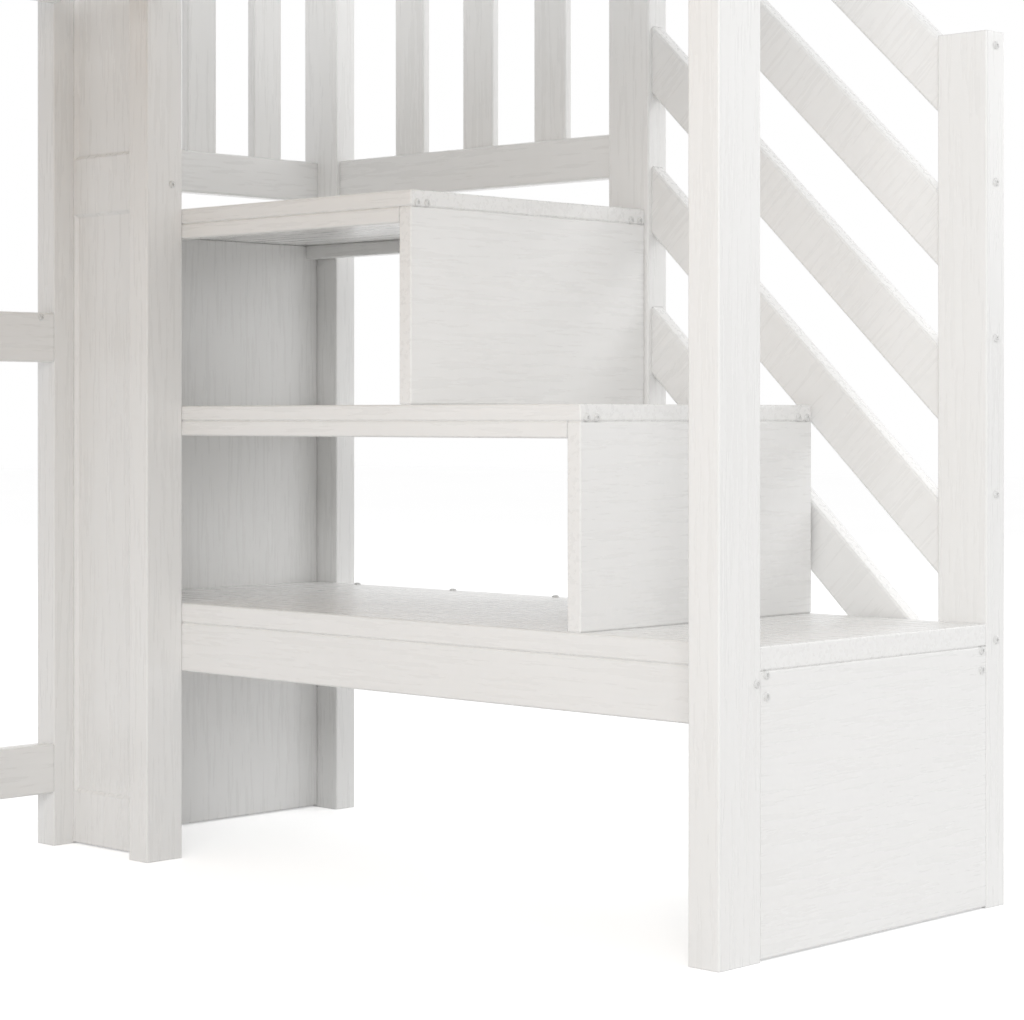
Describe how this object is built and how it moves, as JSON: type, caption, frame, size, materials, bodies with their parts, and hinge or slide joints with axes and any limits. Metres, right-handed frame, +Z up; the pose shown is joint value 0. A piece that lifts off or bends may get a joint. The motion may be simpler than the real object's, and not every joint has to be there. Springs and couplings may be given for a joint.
{
  "type": "loft bed",
  "caption": "White slatted loft bed with a guarded deck on tall posts and a stair of open cubbies across one end.",
  "frame": {"origin": "centre of the footprint, on the floor, taken over everything but measured to the bolt heads", "axes": "+Z up, +Y along the bed towards the stair end, +X from the wall side to the open front"},
  "size_m": [1.057, 2.455, 1.45],
  "materials": {
    "white_paint": "semi-gloss white paint on solid wood and board",
    "bare_pine": "planed bare pine",
    "beech_dowel": "fluted hardwood, hidden in its holes",
    "painted_screws": "white lacquer on domed steel heads",
    "plated_steel": "zinc plate, hidden in the joints"
  },
  "bodies": {
    "root": {"barrel_nuts": "plated_steel", "connector_bolts": "plated_steel", "deck_centre_beam": "bare_pine", "deck_ledger_front": "white_paint", "deck_ledger_wall": "white_paint", "deck_rail_foot_end": "white_paint", "deck_rail_front": "white_paint", "deck_rail_stair_end": "white_paint", "deck_rail_wall": "white_paint", "deck_slats": "bare_pine", "dowels": "beech_dowel", "end_panel": "white_paint", "entry_guard_post": "white_paint", "entry_guard_slats": "white_paint", "entry_guard_top_rail": "white_paint", "foot_guard_slats": "white_paint", "foot_guard_top_rail": "white_paint", "foot_stretcher_lower": "white_paint", "foot_stretcher_upper": "white_paint", "front_apron": "white_paint", "front_bearer_2": "white_paint", "front_bearer_3": "white_paint", "front_guard_slats": "white_paint", "front_guard_top_rail": "white_paint", "handrail_slat_1": "white_paint", "handrail_slat_2": "white_paint", "handrail_slat_3": "white_paint", "handrail_slat_4": "white_paint", "handrail_slat_5": "white_paint", "post_front_foot_end": "white_paint", "post_front_stair_end": "white_paint", "post_inner_stair_end": "white_paint", "post_screws": "painted_screws", "post_wall_foot_end": "white_paint", "post_wall_stair_end": "white_paint", "rear_apron": "white_paint", "rear_bearer_2": "white_paint", "rear_bearer_3": "white_paint", "rear_guard_bottom_rail": "white_paint", "rear_guard_slats": "white_paint", "rear_guard_top_rail": "white_paint", "riser_1": "white_paint", "riser_2": "white_paint", "riser_3": "white_paint", "side_guard_bottom_rail": "white_paint", "side_guard_slats": "white_paint", "side_guard_top_rail": "white_paint", "stair_newel": "white_paint", "stair_post_rear": "white_paint", "stair_post_wall": "white_paint", "stair_screws": "painted_screws", "stair_side_panel": "white_paint", "tread_1": "white_paint", "tread_2": "white_paint", "tread_3": "white_paint", "tread_screws": "painted_screws", "wall_guard_slats": "white_paint", "wall_guard_top_rail": "white_paint", "wall_stretcher_lower": "white_paint", "wall_stretcher_upper": "white_paint"}
  },
  "joints": []
}
